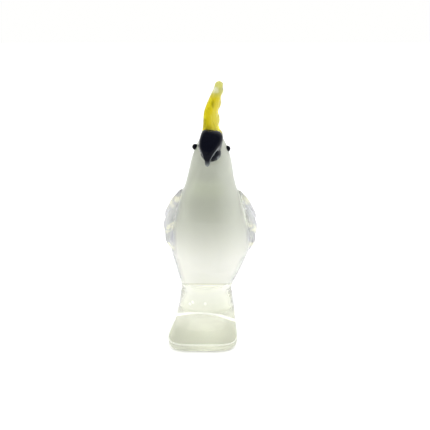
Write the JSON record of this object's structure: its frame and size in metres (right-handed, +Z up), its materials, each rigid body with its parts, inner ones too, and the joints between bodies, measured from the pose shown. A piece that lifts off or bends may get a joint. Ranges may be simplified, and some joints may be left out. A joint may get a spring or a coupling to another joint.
{
  "type": "glass cockatoo figurine",
  "caption": "Free-standing glass cockatoo with a white core in clear glass, yellow crest, black beak and eyes, clear wings and tail, on a clear foot.",
  "frame": {"origin": "on the ground under the bird, at the middle of its stance on the foot's resting face", "axes": "+Z up, -Y the way the bird faces, +X to the bird's left"},
  "size_m": [0.0765, 0.1047, 0.207],
  "materials": {
    "clear_glass": "clear, fire-polished, with a faint green-yellow tint",
    "white_glass": "opal white, smooth",
    "yellow_glass": "opaque yellow with fine streaks along the feathers",
    "black_glass": "opaque black, glossy"
  },
  "bodies": {
    "root": {"foot": "clear_glass", "body_casing": "clear_glass", "body_core": "white_glass", "wing_left": "clear_glass", "wing_right": "clear_glass", "tail": "clear_glass", "crest_casing": "clear_glass", "crest_core": "yellow_glass", "beak_upper": "black_glass", "beak_lower": "black_glass", "eye_left": "black_glass", "eye_right": "black_glass"}
  },
  "joints": []
}
